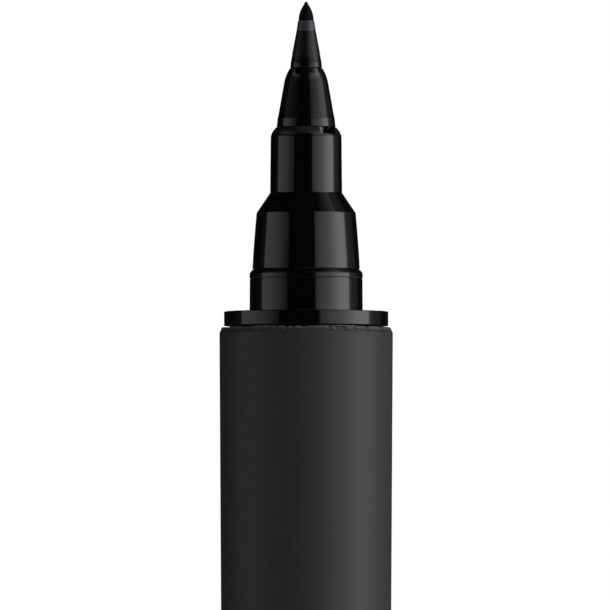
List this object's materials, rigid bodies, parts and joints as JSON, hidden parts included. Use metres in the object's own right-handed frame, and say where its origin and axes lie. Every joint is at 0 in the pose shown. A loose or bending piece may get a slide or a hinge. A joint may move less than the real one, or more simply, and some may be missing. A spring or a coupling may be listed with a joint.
{
  "type": "brush pen",
  "caption": "Slim round brush pen standing on its posted cap, with a pointed fibre nib in a flexible sheath, a stepped gloss front section and a matte tapered barrel.",
  "frame": {"origin": "centre of the flat end of the posted cap, on the surface that the pen stands on", "axes": "+Z along the pen, from the cap's end to the nib's point; the vent notch in the mouth is on the side between +X and -Y"},
  "size_m": [0.0106, 0.0106, 0.1532],
  "materials": {
    "soft_touch_black": "matte soft-touch lacquer on black plastic",
    "front_gloss": "glossy black moulded plastic",
    "feed_plastic": "satin black moulded plastic",
    "nib_fibre": "bonded synthetic fibre soaked in black ink",
    "nib_elastomer": "satin black flexible plastic",
    "relay_fibre": "bonded polyester fibre rod",
    "natural_plastic": "natural translucent polypropylene",
    "white_plastic": "white moulded plastic",
    "seal_rubber": "dark grey rubber",
    "ball_steel": "polished stainless steel",
    "spring_steel": "drawn spring wire"
  },
  "bodies": {
    "cap": {"cap_shell": "soft_touch_black", "cap_liner": "feed_plastic", "cap_crown": "soft_touch_black", "cap_spring": "spring_steel"},
    "inner_cap": {"inner_cap": "white_plastic", "inner_cap_seal": "seal_rubber"},
    "pen": {"barrel": "soft_touch_black", "section_collar": "front_gloss", "front_section": "front_gloss", "nose_cone": "front_gloss", "nib_holder": "white_plastic", "relay_core": "relay_fibre", "collector": "feed_plastic", "collector_seal": "seal_rubber", "ink_tank": "natural_plastic", "tank_stopper": "natural_plastic", "tail_plug": "front_gloss"},
    "nib": {"nib_point": "nib_fibre", "nib_sheath": "nib_elastomer"},
    "ball": {"agitator_ball": "ball_steel"}
  },
  "joints": [
    {"name": "cap_pull", "type": "slide", "parent": "cap", "child": "pen", "axis": [0, 0, 1], "range_m": [0, 0.04]},
    {"name": "inner_cap_press", "type": "slide", "parent": "cap", "child": "inner_cap", "axis": [0, 0, -1], "range_m": [0, 0.0015], "stiffness_N_per_m": 100, "springref_m": -0.003, "deforming": ["cap_spring"]},
    {"name": "nib_flex", "type": "hinge", "parent": "pen", "child": "nib", "pos_m": [0, 0, 0.14911], "axis": [0, 1, 0], "range_deg": [-12, 12], "stiffness_Nm_per_rad": 0.006, "deforming": ["nib_point", "nib_sheath"]},
    {"name": "ball_travel", "type": "slide", "parent": "pen", "child": "ball", "axis": [0, 0, 1], "range_m": [0, 0.053]}
  ]
}
